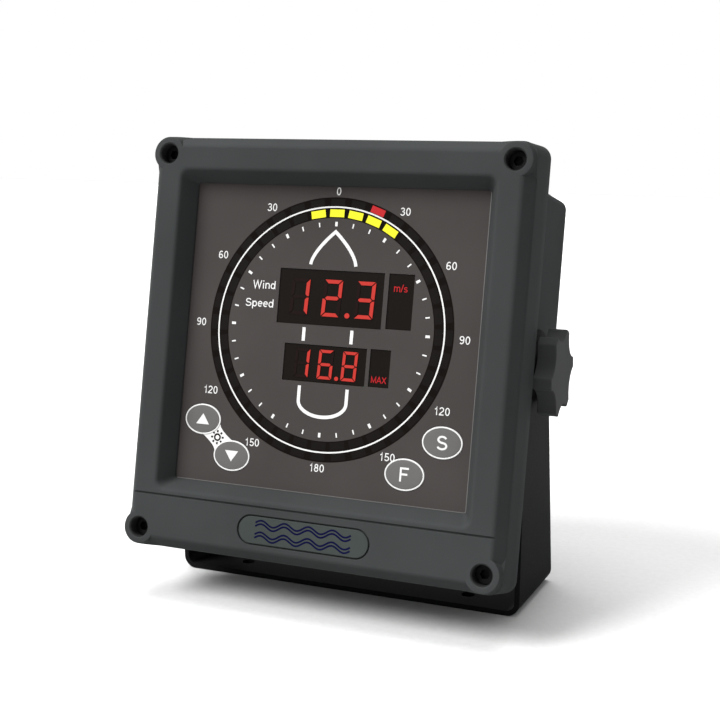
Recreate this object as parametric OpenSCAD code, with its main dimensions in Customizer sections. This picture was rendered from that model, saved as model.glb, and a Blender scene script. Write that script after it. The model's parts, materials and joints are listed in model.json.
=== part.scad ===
// Marine wind speed and direction display in a tilting yoke.
// Row frame: millimetres, +Z up, -Y towards the viewer, origin at the centre of the yoke's underside.
// The display head is drawn in its own frame, with y = 0 on the bezel's front face, y growing towards the
// back, and z = 0 at the height of the tilt pivot. head_frame() puts it in place.

/* [Yoke] */
// Outside width of the yoke
yoke_w = 179.4; // [178:0.2:184]
// Depth of the yoke's foot
yoke_d = 59.4; // [56:0.2:66]
// Sheet thickness
sheet_t = 2.5; // [2:0.5:3]
// Outside radius of the two bends
bend_r = 6.5; // [5:0.5:10]
// Height of the tilt pivot above the underside
pivot_z = 114.5; // [113:0.5:125]
// How far the pivot lies in front of the foot's middle
pivot_lead = 11.4; // [9:0.2:13]
// Radius of the round upper end of each arm
arm_end_r = 19.5; // [17:0.5:21]
// Radius of the fixing holes in the foot
foot_hole_r = 3.25; // [2.5:0.25:4]
// Distance between fixing holes across the foot
foot_hole_dx = 120; // [90:5:130]
// Distance between fixing holes along the foot
foot_hole_dy = 30; // [24:1:36]

/* [Head] */
// How far the head leans back as shown
tilt = 10; // [0:1:40]
// Width of the bezel
bezel_w = 189; // [185:1:193]
// Height of the bezel behind its front chamfer
bezel_h = 197.4; // [193:0.2:200]
// How far the bezel's top and bottom flare out towards the back
flare = 2.3; // [0:0.1:3]
// Depth of the bezel, skirt included
bezel_d = 28; // [26:1:30]
// Depth of the whole head, without the cable glands
head_d = 100; // [95:1:110]
// Depth of the pivot behind the bezel's face
pivot_depth = 53; // [51:1:56]
// Width of the rear housing
housing_w = 170.6; // [166:0.2:171]
// Height of the rear housing
housing_h = 173; // [168:1:176]
// Wall of the rear housing
wall_t = 3; // [2.5:0.5:4]
// Distance between the corner screws across
screw_dx = 172; // [170:1:173]
// Distance between the corner screws up and down
screw_dz = 180; // [178:1:182]

/* [Panel] */
// Visible width of the front film
film_w = 147.4; // [144:0.2:150]
// Visible height of the front film
film_h = 143.2; // [140:0.2:146]
// Depth of the film behind the bezel's face
film_y = 10.3; // [9:0.1:11]
// Width of the sloped edge round the film
slope_w = 5; // [4:0.5:6]
// Radius of the inner row of wind direction lamps
inner_row_r = 53.9; // [53:0.1:54.5]
// Radius of the outer row of wind direction lamps
outer_row_r = 58.9; // [58.5:0.1:60]
// Number of lamps in each row
lamps = 36; // [24:12:36]
// Height of the wind speed digits
speed_digit_h = 17.5; // [16:0.5:19]
// Height of the maximum speed digits
max_digit_h = 14; // [12:0.5:15]

/* [Knobs] */
// Radius of the clamp knob over its lobes
knob_r = 20.5; // [18:0.5:21]
// Number of lobes
knob_lobes = 6; // [5:1:8]
// Depth of the hollows between lobes
knob_valley = 5; // [3:0.2:6]
// Thickness of the clamp knob
knob_t = 9; // [7:0.2:9]
// Radius of the pressure disc under the knob
disc_r = 14; // [12:0.5:15]
// Radius of the clamp screw's thread
stud_r = 4; // [3.5:0.5:4.5]

/* [Hidden] */
$fn = 64;
eps = 0.01;              // overshoot of a cut past the face it opens
slide_gap = 0.05;        // radial clearance of a screw in its thread or guide

yoke_half = yoke_w / 2;
pivot_y = -pivot_lead;

// Heights in the head frame, measured from the pivot.
mid_z = 0;               // middle of the bezel, the housing and the screw pattern
film_z = 6.1;            // middle of the film
dial_z = 11.2;           // centre of the wind direction dial
groove_z = -73.3;
badge_z = -84;

// Bezel.
face_inset = 4.7;        // chamfer width
chamfer_d = 6;
skirt_t = 3.5;
boss_r = 8;
corner_r = 6.5;
slab_d = 13;             // depth of the solid front part
rib_t = 3.5;
rib_w = 176;
rib_h = 184;
rib_end = 21;
badge_w = 66.5;
badge_h = 14;
badge_depth = 1.2;
groove_w = 0.8;

// Panel stack, from the front.
seal_t = 0.5;
film_t = 0.5;
plate_t = 2;
panel_margin = 5;        // hidden edge of the panel behind the sloped edge
plate_y = film_y + film_t;
board_t = 1.6;
board_y = 19;
board_w = 150;
board_h = 146;

// Corner screws, M5 socket heads.
counterbore_r = 5;
counterbore_d = 10;
screw_r = 2.5;
screw_clear_r = 2.75;
screw_head_r = 4.25;
screw_head_h = 5;
hex_key_r = 2.3;

// Flange of the rear housing.
flange_y = 23;
flange_t = 4;
flange_gap = 0.4;
ear_r = 4.6;
ear_end = 29;
insert_r = 3.5;

// Main board.
main_y = 84;
main_w = 130;
main_h = 112;
main_z = 14;

// Pivot.
pivot_boss_r = 10;
pivot_boss_in = 70;      // x where the inner boss ends
pivot_insert_r = 6;
half_w = housing_w / 2;
inner_face = yoke_half - sheet_t;
washer_r = 15;
disc_t = 2.6;            // pressure disc
disc_rim = 0.6;          // chamfer on its outer rim
knob_x0 = yoke_half + disc_t + 0.3;
knob_x1 = knob_x0 + knob_t;
knob_turn = 7;           // angle of the first lobe above level
scallop_r = 11;          // radius of each hollow between lobes

// Keys: [x, z] of each oval on the film.
key_a = 9.6;
key_b = 7.3;
key_up_at = [-61.3, -35.9];
key_down_at = [-44.5, -51.9];
key_s_at = [60, -35.5];
key_f_at = [43.3, -51.5];
key_places = [key_up_at, key_down_at, key_s_at, key_f_at];
key_proud = 0.4;
key_gap = 0.2;
key_travel = 0.5;
stem_r = 2;
switch_w = 6;
switch_y = 14.6;

// Display windows: [x0, x1, z0, z1].
speed_window = [-26.6, 26, 13, 38.6];
speed_unit_window = [28.4, 40.6, 13.4, 38.6];
max_window = [-21.3, 20.2, -13.6, 3.6];
max_unit_window = [22.2, 32, -13.4, 3.7];
windows = [speed_window, speed_unit_window, max_window, max_unit_window];
digit_proud = 0.4;       // height of the light bars above the module's face

// Glands and earth stud on the back: [x, z].
gland_places = [[-34, -58], [34, -58]];
earth_at = [0, -74];
gland_bore_r = 4;
gland_thread_r = 7.6;

// ---------- shapes used in several parts ----------

// Rectangle w by h with round corners, centred on [0, z].
module rounded(w, h, r, z = 0) {
    translate([0, z]) {
        square([w - 2 * r, h], center = true);
        square([w, h - 2 * r], center = true);
        for (sx = [-1, 1], sz = [-1, 1])
            translate([sx * (w / 2 - r), sz * (h / 2 - r)]) circle(r = r);
    }
}

// Solid with an x-z outline, from depth y0 to depth y1.
module slab(y0, y1) {
    translate([0, y1, 0]) rotate([90, 0, 0]) linear_extrude(y1 - y0) children();
}

module rod_y(r, y0, y1, at = [0, 0]) {
    translate([at[0], y1, at[1]]) rotate([90, 0, 0]) cylinder(r = r, h = y1 - y0);
}

module rod_x(r, x0, x1, y = 0, z = 0) {
    translate([x0, y, z]) rotate([0, 90, 0]) cylinder(r = r, h = x1 - x0);
}

module tube_y(r_out, r_in, y0, y1, at = [0, 0]) {
    difference() {
        rod_y(r_out, y0, y1, at);
        rod_y(r_in, y0 - eps, y1 + eps, at);
    }
}

// Six-sided prism along y, measured over its corners.
module hex_y(r, y0, y1, at = [0, 0]) {
    translate([at[0], y1, at[1]]) rotate([90, 0, 0]) cylinder(r = r, h = y1 - y0, $fn = 6);
}

module box_xz(win, y0, y1) {
    translate([win[0], y0, win[2]]) cube([win[1] - win[0], y1 - y0, win[3] - win[2]]);
}

function ellipse(a, b, n = 48) = [for (i = [0:n - 1]) [a * cos(360 * i / n), b * sin(360 * i / n)]];

// Puts a child drawn in the head frame in place.
module head_frame() {
    translate([0, pivot_y, pivot_z]) rotate([-tilt, 0, 0]) translate([0, -pivot_depth, 0]) children();
}

// Puts a child drawn round the pivot, with x outwards from the right side, on either side of the head.
module at_pivot(side) {
    translate([0, pivot_y, pivot_z]) mirror([side < 0 ? 1 : 0, 0, 0]) children();
}

module at_corners() {
    for (sx = [-1, 1], sz = [-1, 1])
        translate([sx * screw_dx / 2, 0, mid_z + sz * screw_dz / 2]) children();
}

// ---------- yoke ----------

// U outline in x-z: outer less inner, with both bends round.
module yoke_outline() {
    top = pivot_z + arm_end_r + 1;
    difference() {
        hollow_u(yoke_half, 0, bend_r, top);
        hollow_u(yoke_half - sheet_t, sheet_t, bend_r - sheet_t, top + 1);
    }
}

// Rectangle from z0 to z1 with round lower corners.
module hollow_u(half, z0, r, z1) {
    translate([-half, z0 + r]) square([2 * half, z1 - z0 - r]);
    translate([-half + r, z0]) square([2 * (half - r), r + eps]);
    for (sx = [-1, 1]) translate([sx * (half - r), z0 + r]) circle(r = r);
}

// Point where the straight line from p touches a circle of radius r round the pivot.
function touch(p, r, side) = let (
    dy = p[0] - pivot_y,
    dz = p[1] - pivot_z,
    far = norm([dy, dz]),
    a = atan2(dz, dy) + side * acos(r / far)
) [pivot_y + r * cos(a), pivot_z + r * sin(a)];

// Side view of the yoke in y-z: a round end with straight edges down to the foot.
module arm_outline() {
    front = [-yoke_d / 2, bend_r];
    back = [yoke_d / 2, bend_r];
    translate([pivot_y, pivot_z]) circle(r = arm_end_r);
    polygon([
        [front[0], -1], [back[0], -1], back, touch(back, arm_end_r, 1),
        [pivot_y, pivot_z], touch(front, arm_end_r, -1), front
    ]);
}

module mounting_yoke() color([0.09, 0.09, 0.09]) {
    difference() {
        intersection() {
            translate([0, yoke_d / 2, 0]) rotate([90, 0, 0]) linear_extrude(yoke_d) yoke_outline();
            translate([-yoke_half - 1, 0, 0])
                rotate([90, 0, 90]) linear_extrude(yoke_w + 2) arm_outline();
        }
        rod_x(stud_r + 0.3, -yoke_half - 1, yoke_half + 1, pivot_y, pivot_z);
        for (sx = [-1, 1], sy = [-1, 1])
            translate([sx * foot_hole_dx / 2, sy * foot_hole_dy / 2, -1])
                cylinder(r = foot_hole_r, h = sheet_t + 2);
    }
}

// ---------- bezel ----------

// Chamfered block: the front outline crossed with the chamfered top view and side view.
module bezel_block() {
    hw = bezel_w / 2;
    hh = bezel_h / 2;
    intersection() {
        slab(0, bezel_d) rounded(bezel_w, bezel_h + 2 * flare, corner_r, mid_z);
        translate([0, 0, mid_z - hh - 5]) linear_extrude(bezel_h + 10) polygon([
            [-hw + face_inset, 0], [hw - face_inset, 0], [hw, chamfer_d],
            [hw, bezel_d], [-hw, bezel_d], [-hw, chamfer_d]
        ]);
        translate([-hw - 1, 0, mid_z]) rotate([90, 0, 90]) linear_extrude(bezel_w + 2) polygon([
            [0, -hh + face_inset], [0, hh - face_inset], [chamfer_d, hh],
            [bezel_d, hh + flare], [bezel_d, -hh - flare], [chamfer_d, -hh]
        ]);
    }
}

// Sloped opening in front of the film, with mitred corners.
module film_opening() {
    hw = film_w / 2;
    hh = film_h / 2;
    end = film_y - seal_t;
    intersection() {
        translate([0, 0, film_z - hh - 20]) linear_extrude(film_h + 40) polygon([
            [-hw - slope_w, -1], [hw + slope_w, -1], [hw + slope_w, 0], [hw, end],
            [hw, slab_d], [-hw, slab_d], [-hw, end], [-hw - slope_w, 0]
        ]);
        translate([-hw - 20, 0, film_z]) rotate([90, 0, 90]) linear_extrude(film_w + 40) polygon([
            [-1, -hh - slope_w], [-1, hh + slope_w], [0, hh + slope_w], [end, hh],
            [slab_d, hh], [slab_d, -hh], [end, -hh], [0, -hh - slope_w]
        ]);
    }
}

module front_bezel() color([0.25, 0.26, 0.27]) head_frame() {
    inner_w = bezel_w - 2 * skirt_t;
    inner_h = bezel_h - 2 * skirt_t;
    difference() {
        union() {
            difference() {
                bezel_block();
                // Channel between the skirt and the sealing rib.
                slab(5.5, bezel_d + eps) difference() {
                    rounded(inner_w, inner_h, 5, mid_z);
                    rounded(rib_w, rib_h, 3, mid_z);
                }
                slab(rib_end, bezel_d + eps) rounded(inner_w, inner_h, 5, mid_z);
                slab(slab_d, bezel_d) rounded(rib_w - 2 * rib_t, rib_h - 2 * rib_t, 2, mid_z);
            }
            at_corners() rod_y(boss_r, 0, rib_end);
        }
        film_opening();
        slab(film_y - seal_t, slab_d + eps)
            rounded(film_w + 2 * panel_margin + 1, film_h + 2 * panel_margin + 1, 2, film_z);
        // Relief behind the badge.
        box_xz([-70, 70, -88, -78], 4.5, slab_d + eps);
        // Parting groove across the face.
        translate([-bezel_w / 2, -1, groove_z - groove_w / 2]) cube([bezel_w, 1 + groove_w, groove_w]);
        slab(-1, badge_depth) rounded(badge_w, badge_h, badge_h / 2 - eps, badge_z);
        at_corners() rod_y(counterbore_r, -1, counterbore_d);
        at_corners() rod_y(screw_clear_r, 0, bezel_d);
        for (p = panel_screw_places()) rod_y(1.3, 6.5, slab_d, p);
    }
}

module badge_plate() color([0.29, 0.31, 0.30]) head_frame()
    slab(0.1, badge_depth) rounded(badge_w - 1.4, badge_h - 1.4, (badge_h - 1.4) / 2 - eps, badge_z);

// ---------- panel stack ----------

function panel_screw_places() = [
    for (sx = [-1, 1], sz = [-1, 1]) [sx * (film_w / 2 + 2.7), film_z + sz * (film_h / 2 + 2.7)]
];

module panel_outline(extra = 0) {
    rounded(film_w + 2 * panel_margin + extra, film_h + 2 * panel_margin + extra, 2, film_z);
}

// The square of one lamp, at its place on the dial.
module lamp_box(row_r, w, h, i, y0, y1) {
    translate([0, 0, dial_z]) rotate([0, 360 * i / lamps, 0])
        translate([-w / 2, y0, row_r - h / 2]) cube([w, y1 - y0, h]);
}

inner_lamp = [7.2, 3.4];
outer_lamp = [6.8, 3.1];
lamp_gap = 0.1;

module lamp_openings(y0, y1) {
    for (i = [0:lamps - 1]) {
        lamp_box(inner_row_r, inner_lamp[0] + lamp_gap, inner_lamp[1] + lamp_gap, i, y0, y1);
        lamp_box(outer_row_r, outer_lamp[0] + lamp_gap, outer_lamp[1] + lamp_gap, i, y0, y1);
    }
}

module key_openings(y0, y1) {
    for (p = key_places)
        translate([p[0], 0, p[1]]) slab(y0, y1) polygon(ellipse(key_a + key_gap, key_b + key_gap));
}

module window_openings(y0, y1) {
    for (w = windows) box_xz([w[0] - 0.1, w[1] + 0.1, w[2] - 0.1, w[3] + 0.1], y0, y1);
}

module panel_seal() color([0.04, 0.04, 0.04]) head_frame() difference() {
    slab(film_y - seal_t, film_y) panel_outline();
    slab(film_y - 1, film_y + 1) rounded(film_w + 0.4, film_h + 0.4, 1.5, film_z);
    for (p = panel_screw_places()) rod_y(1.6, film_y - 1, film_y + 1, p);
}

module overlay_film() color([0.30, 0.29, 0.28]) head_frame() difference() {
    slab(film_y, plate_y) panel_outline();
    lamp_openings(film_y - 1, plate_y + 1);
    key_openings(film_y - 1, plate_y + 1);
    window_openings(film_y - 1, plate_y + 1);
    for (p = panel_screw_places()) rod_y(1.6, film_y - 1, plate_y + 1, p);
}

module support_plate() color("silver") head_frame() difference() {
    slab(plate_y, plate_y + plate_t) panel_outline();
    lamp_openings(plate_y - 1, plate_y + plate_t + 1);
    key_openings(plate_y - 1, plate_y + plate_t + 1);
    window_openings(plate_y - 1, plate_y + plate_t + 1);
    for (p = panel_screw_places()) rod_y(1.6, plate_y - 1, plate_y + plate_t + 1, p);
    for (p = spacer_places()) rod_y(1.25, plate_y - 1, plate_y + plate_t + 1, p);
}

// Pan-head screws that hold the panel in the bezel, driven from behind.
module panel_screws() color("silver") head_frame()
    for (p = panel_screw_places()) {
        rod_y(1.25, 7.5, plate_y + plate_t, p);
        rod_y(2.4, plate_y + plate_t, plate_y + plate_t + 1.8, p);
    }

module inner_lamp_row() color([0.9, 0.85, 0.1]) head_frame()
    for (i = [0:lamps - 1]) lamp_box(inner_row_r, inner_lamp[0], inner_lamp[1], i, film_y, board_y);

module outer_lamp_row() color([0.8, 0.1, 0.1]) head_frame()
    for (i = [0:lamps - 1]) lamp_box(outer_row_r, outer_lamp[0], outer_lamp[1], i, film_y, board_y);

// ---------- numeric displays ----------

// One light bar of a seven-segment digit: a stretched hexagon along x or z.
module bar(cx, cz, len, t, upright) {
    h = len / 2;
    q = t / 2;
    pts = [[-h, 0], [-h + q, q], [h - q, q], [h, 0], [h - q, -q], [-h + q, -q]];
    translate([cx, cz]) rotate(upright ? 90 : 0) polygon(pts);
}

// Which bars are present: top, upper left, upper right, middle, lower left, lower right, bottom.
function bar_list(h, w) = [
    [0, h / 2, false], [-w / 2, h / 4, true], [w / 2, h / 4, true], [0, 0, false],
    [-w / 2, -h / 4, true], [w / 2, -h / 4, true], [0, -h / 2, false]
];

module digit(h, t) {
    span = h - t;
    w = span * 0.56;
    gap = 0.25;
    for (b = bar_list(span, w))
        bar(b[0], b[1], (b[2] ? span / 2 : w) - gap, t, b[2]);
}

// Three digits and a point, as bars that stand on the module's face.
module digit_row(win, h, pitch, mid_x, point_dx) {
    t = h * 0.085;
    zc = (win[2] + win[3]) / 2;
    for (i = [-1:1]) slab(film_y, film_y + digit_proud) translate([mid_x + i * pitch, zc]) digit(h, t);
    rod_y(t * 0.62, film_y, film_y + digit_proud, [mid_x + point_dx, zc - h / 2 + t / 2]);
}

module display_case(win) box_xz(win, film_y + digit_proud, board_y);

module speed_display() color([0.08, 0.07, 0.06]) head_frame() display_case(speed_window);
module max_display() color([0.08, 0.07, 0.06]) head_frame() display_case(max_window);
module speed_unit_display() color([0.08, 0.07, 0.06]) head_frame() display_case(speed_unit_window);
module max_unit_display() color([0.08, 0.07, 0.06]) head_frame() display_case(max_unit_window);

module speed_digits() color([0.9, 0.2, 0.12]) head_frame()
    digit_row(speed_window, speed_digit_h, 16.5, 0.75, 8.2);

module max_digits() color([0.9, 0.2, 0.12]) head_frame()
    digit_row(max_window, max_digit_h, 12.1, 0.1, 6);

// ---------- keys ----------

// Oval key with the stem that reaches the switch behind it.
module key(p) color([0.42, 0.42, 0.41]) head_frame() {
    translate([p[0], 0, p[1]]) slab(film_y - key_proud, plate_y) polygon(ellipse(key_a, key_b));
    rod_y(stem_r, plate_y, switch_y - key_travel - slide_gap, p);
}

module key_up() key(key_up_at);
module key_down() key(key_down_at);
module key_s() key(key_s_at);
module key_f() key(key_f_at);

module key_switches() color([0.1, 0.1, 0.1]) head_frame()
    for (p = key_places) {
        rod_y(1.75, switch_y, board_y - 3.5, p);
        translate([p[0] - switch_w / 2, board_y - 3.5, p[1] - switch_w / 2])
            cube([switch_w, 3.5, switch_w]);
    }

// ---------- boards ----------

function spacer_places() = [for (sx = [-1, 1], sz = [-1, 1]) [sx * 68, film_z + sz * 66]];
function standoff_places() = [for (sx = [-1, 1], sz = [-1, 1]) [sx * 58, main_z + sz * 48]];

module display_board() color([0.05, 0.30, 0.16]) head_frame() difference() {
    slab(board_y, board_y + board_t) rounded(board_w, board_h, 2, film_z);
    for (p = spacer_places()) rod_y(1.6, board_y - 1, board_y + board_t + 1, p);
}

module display_spacers() color("gold") head_frame()
    for (p = spacer_places()) {
        tube_y(3, 1.3, plate_y + plate_t, board_y, p);
    }

module pan_screw(p, y_head, reach) {
    rod_y(1.25, y_head - reach, y_head, p);
    rod_y(2.6, y_head, y_head + 1.9, p);
}

module display_board_screws() color("silver") head_frame()
    for (p = spacer_places()) pan_screw(p, board_y + board_t, 6.5);

module main_board() color([0.05, 0.30, 0.16]) head_frame() difference() {
    slab(main_y, main_y + board_t) rounded(main_w, main_h, 2, main_z);
    for (p = standoff_places()) rod_y(1.6, main_y - 1, main_y + board_t + 1, p);
}

module main_board_screws() color("silver") head_frame()
    for (p = standoff_places()) {
        rod_y(1.25, main_y, main_y + 8, p);
        rod_y(2.6, main_y - 1.9, main_y, p);
    }

module processor_chips() color([0.06, 0.06, 0.06]) head_frame() {
    for (c = [[-30, 30, 14, 14], [0, 32, 10, 7], [-34, 2, 8, 6], [-8, -4, 12, 9]])
        translate([c[0] - c[2] / 2, main_y - 1.6, c[1] - c[3] / 2]) cube([c[2], 1.6, c[3]]);
}

module power_module() color([0.12, 0.12, 0.13]) head_frame()
    translate([18, main_y - 16, -6]) cube([36, 16, 26]);

module terminal_block() color([0.10, 0.42, 0.25]) head_frame() difference() {
    translate([-30, main_y - 10, -40]) cube([60, 10, 9]);
    for (i = [0:9]) rod_y(1.6, main_y - 10 - eps, main_y - 6, [-27 + 6 * i, -33.5]);
    for (i = [0:9]) translate([-29 + 6 * i, main_y - 4.5, -41]) cube([4, 3, 6]);
}

ribbon_w = 20;
ribbon_t = 0.9;
ribbon_x = -20;

// Sockets for the ribbon on the two boards.
module ribbon_sockets() color([0.07, 0.07, 0.07]) head_frame() {
    translate([ribbon_x - 12, board_y + board_t, 44]) cube([24, 6, 7]);
    translate([ribbon_x - 12, main_y - 6, 44]) cube([24, 6, 7]);
}

// Flat cable between the sockets, with two round bends.
module ribbon_cable() color([0.5, 0.5, 0.52]) head_frame() {
    y0 = board_y + board_t + 6;
    y1 = main_y - 6;
    z = 47.5;
    bend = 7;
    run = y1 - y0 - 2 * bend;
    translate([ribbon_x - ribbon_w / 2, 0, 0]) rotate([90, 0, 90]) linear_extrude(ribbon_w) {
        translate([y0, z - ribbon_t / 2]) square([bend * 0.5, ribbon_t]);
        translate([y0 + bend * 0.5, z + bend]) quarter_ring(bend, 270);
        translate([y0 + bend * 1.5 - ribbon_t / 2, z + bend - eps]) square([ribbon_t, 6]);
        translate([y0 + bend * 2.5, z + bend + 6 - eps]) quarter_ring(bend, 90);
        translate([y0 + bend * 2.5, z + 2 * bend + 6 - ribbon_t / 2 - eps])
            square([run - 3 * bend, ribbon_t]);
        translate([y0 + run - 0.5 * bend, z + bend + 6 - eps]) quarter_ring(bend, 0);
        translate([y0 + run + 0.5 * bend - ribbon_t / 2, z + bend - eps]) square([ribbon_t, 6]);
        translate([y0 + run + 1.5 * bend, z + bend]) quarter_ring(bend, 180);
        translate([y0 + run + 1.5 * bend, z - ribbon_t / 2]) square([bend * 0.5, ribbon_t]);
    }
}

// A quarter of a flat ring, starting at the given angle.
module quarter_ring(r, start) {
    intersection() {
        difference() {
            circle(r = r + ribbon_t / 2);
            circle(r = r - ribbon_t / 2);
        }
        rotate(start) translate([-eps, -eps]) square(r + 1);
    }
}

// ---------- rear housing ----------

// Frame-shaped seal with an eye round each corner screw.
module housing_seal() color([0.04, 0.04, 0.04]) head_frame() difference() {
    union() {
        slab(rib_end, flange_y) difference() {
            rounded(rib_w, rib_h, 3, mid_z);
            rounded(rib_w - 2 * rib_t, rib_h - 2 * rib_t, 2, mid_z);
        }
        at_corners() rod_y(ear_r, rib_end, flange_y);
    }
    at_corners() rod_y(screw_clear_r, rib_end - 1, flange_y + 1);
}

module rear_housing() color([0.25, 0.26, 0.26]) head_frame() {
    inner_w = bezel_w - 2 * skirt_t - 2 * flange_gap;
    inner_h = bezel_h - 2 * skirt_t - 2 * flange_gap;
    back = head_d - wall_t;
    difference() {
        union() {
            difference() {
                union() {
                    slab(flange_y, flange_y + flange_t) rounded(inner_w, inner_h, 5, mid_z);
                    slab(flange_y, head_d) rounded(housing_w, housing_h, 5, mid_z);
                    at_corners() rod_y(ear_r, flange_y + 1, ear_end);
                }
                slab(flange_y - eps, back)
                    rounded(housing_w - 2 * wall_t, housing_h - 2 * wall_t, 3, mid_z);
            }
            for (side = [-1, 1]) mirror([side < 0 ? 1 : 0, 0, 0])
                rod_x(pivot_boss_r, pivot_boss_in, half_w - 1, pivot_depth, 0);
            for (p = standoff_places()) rod_y(3.5, main_y + board_t, back + 1, p);
        }
        at_corners() rod_y(insert_r, flange_y - eps, ear_end + eps);
        rod_x(pivot_insert_r, -half_w - 1, -pivot_boss_in + 1, pivot_depth, 0);
        rod_x(pivot_insert_r, pivot_boss_in - 1, half_w + 1, pivot_depth, 0);
        for (p = standoff_places()) rod_y(1.3, main_y, main_y + 10, p);
        for (p = gland_places) rod_y(gland_thread_r + 0.2, back - 1, head_d + 1, p);
        rod_y(2.6, back - 1, head_d + 1, earth_at);
    }
}

module corner_inserts() color("gold") head_frame() at_corners()
    tube_y(insert_r, screw_r + slide_gap, flange_y, ear_end);

// M5 socket-head screws, sunk below the bezel's face.
module corner_screws() color([0.05, 0.05, 0.05]) head_frame() at_corners() {
    difference() {
        rod_y(screw_head_r, counterbore_d - screw_head_h, counterbore_d);
        hex_y(hex_key_r, counterbore_d - screw_head_h - 1, counterbore_d - 2);
    }
    rod_y(screw_r, counterbore_d - eps, ear_end - 1);
}

// ---------- pivots and knobs ----------

// The insert turns with the head, so it is drawn at the pivot with the head's parts.
module pivot_insert(side) color("gold") at_pivot(side) difference() {
    rod_x(pivot_insert_r, pivot_boss_in, half_w);
    rod_x(stud_r + slide_gap, pivot_boss_in - 1, half_w + 1);
}

module friction_washer(side) color([0.85, 0.84, 0.80]) at_pivot(side) difference() {
    rod_x(washer_r, half_w, inner_face - slide_gap);
    rod_x(stud_r + 0.3, half_w - 1, inner_face + 1);
}

module knob_disc(side) color([0.14, 0.14, 0.14]) at_pivot(side) difference() {
    union() {
        rod_x(disc_r, yoke_half + slide_gap, yoke_half + disc_t - disc_rim);
        translate([yoke_half + disc_t - disc_rim, 0, 0]) rotate([0, 90, 0])
            cylinder(r1 = disc_r, r2 = disc_r - disc_rim, h = disc_rim);
    }
    rod_x(stud_r + 0.3, yoke_half - 1, knob_x0);
}

// Star outline: a round blank with a round hollow between each two lobes.
module knob_outline() difference() {
    circle(r = knob_r);
    for (i = [0:knob_lobes - 1])
        rotate(knob_turn + (i + 0.5) * 360 / knob_lobes)
            translate([knob_r - knob_valley + scallop_r, 0]) circle(r = scallop_r);
}

module knob(side) color([0.27, 0.27, 0.27]) at_pivot(side) difference() {
    translate([knob_x0, 0, 0]) rotate([90, 0, 90]) linear_extrude(knob_t) knob_outline();
    rod_x(stud_r, knob_x0 - 1, knob_x1 - 2);
}

module knob_stud(side) color("silver") at_pivot(side) rod_x(stud_r, pivot_boss_in + 2, knob_x1 - 2);

module right_pivot_insert() pivot_insert(1);
module left_pivot_insert() pivot_insert(-1);
module right_friction_washer() friction_washer(1);
module left_friction_washer() friction_washer(-1);
module right_knob_disc() knob_disc(1);
module left_knob_disc() knob_disc(-1);
module right_knob() knob(1);
module left_knob() knob(-1);
module right_knob_stud() knob_stud(1);
module left_knob_stud() knob_stud(-1);

// ---------- cable glands and earth stud ----------

gland_hex_r = 11;
gland_in = 9;            // how far the gland's thread reaches into the housing

module gland_bodies() color([0.07, 0.07, 0.07]) head_frame()
    for (p = gland_places) difference() {
        union() {
            rod_y(gland_thread_r, head_d - wall_t - gland_in, head_d + eps, p);
            hex_y(gland_hex_r, head_d, head_d + 5, p);
            rod_y(8, head_d + 5 - eps, head_d + 15, p);
        }
        rod_y(5, head_d - wall_t - gland_in - 1, head_d + 5, p);
        rod_y(6.5, head_d + 5 - eps, head_d + 16, p);
    }

module gland_locknuts() color([0.07, 0.07, 0.07]) head_frame()
    for (p = gland_places) difference() {
        hex_y(gland_hex_r, head_d - wall_t - 5, head_d - wall_t, p);
        rod_y(gland_thread_r + slide_gap, head_d - wall_t - 6, head_d, p);
    }

module gland_seals() color([0.12, 0.12, 0.12]) head_frame()
    for (p = gland_places) tube_y(6.4, gland_bore_r, head_d + 5, head_d + 15, p);

module gland_caps() color([0.07, 0.07, 0.07]) head_frame()
    for (p = gland_places) difference() {
        union() {
            hex_y(gland_hex_r, head_d + 6, head_d + 13, p);
            translate([p[0], head_d + 20, p[1]]) rotate([90, 0, 0])
                cylinder(r1 = 7, r2 = 9.5, h = 7);
        }
        rod_y(8 + slide_gap, head_d + 5, head_d + 15, p);
        rod_y(gland_bore_r + 0.8, head_d + 14, head_d + 21, p);
    }

module earth_stud() color("silver") head_frame() {
    rod_y(2.5, head_d - wall_t - 6, head_d + 14, earth_at);
    rod_y(4.6, head_d - wall_t - 2, head_d - wall_t, earth_at);
}

module earth_nuts() color("silver") head_frame() {
    for (y = [head_d, head_d + 6]) difference() {
        hex_y(4.6, y, y + 4, earth_at);
        rod_y(2.5 + slide_gap, y - 1, y + 5, earth_at);
    }
}

mounting_yoke();
front_bezel();
badge_plate();
panel_seal();
overlay_film();
support_plate();
panel_screws();
inner_lamp_row();
outer_lamp_row();
speed_display();
speed_digits();
speed_unit_display();
max_display();
max_digits();
max_unit_display();
key_up();
key_down();
key_s();
key_f();
key_switches();
display_board();
display_spacers();
display_board_screws();
ribbon_sockets();
ribbon_cable();
main_board();
main_board_screws();
processor_chips();
power_module();
terminal_block();
housing_seal();
rear_housing();
corner_inserts();
corner_screws();
right_pivot_insert();
left_pivot_insert();
right_friction_washer();
left_friction_washer();
gland_bodies();
gland_locknuts();
gland_seals();
gland_caps();
earth_stud();
earth_nuts();
right_knob_disc();
right_knob();
right_knob_stud();
left_knob_disc();
left_knob();
left_knob_stud();
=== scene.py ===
"""Marine wind display in its tilting yoke: the looks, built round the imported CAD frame."""
import json
import math

import bmesh
import bpy
from mathutils import Matrix, Vector


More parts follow.
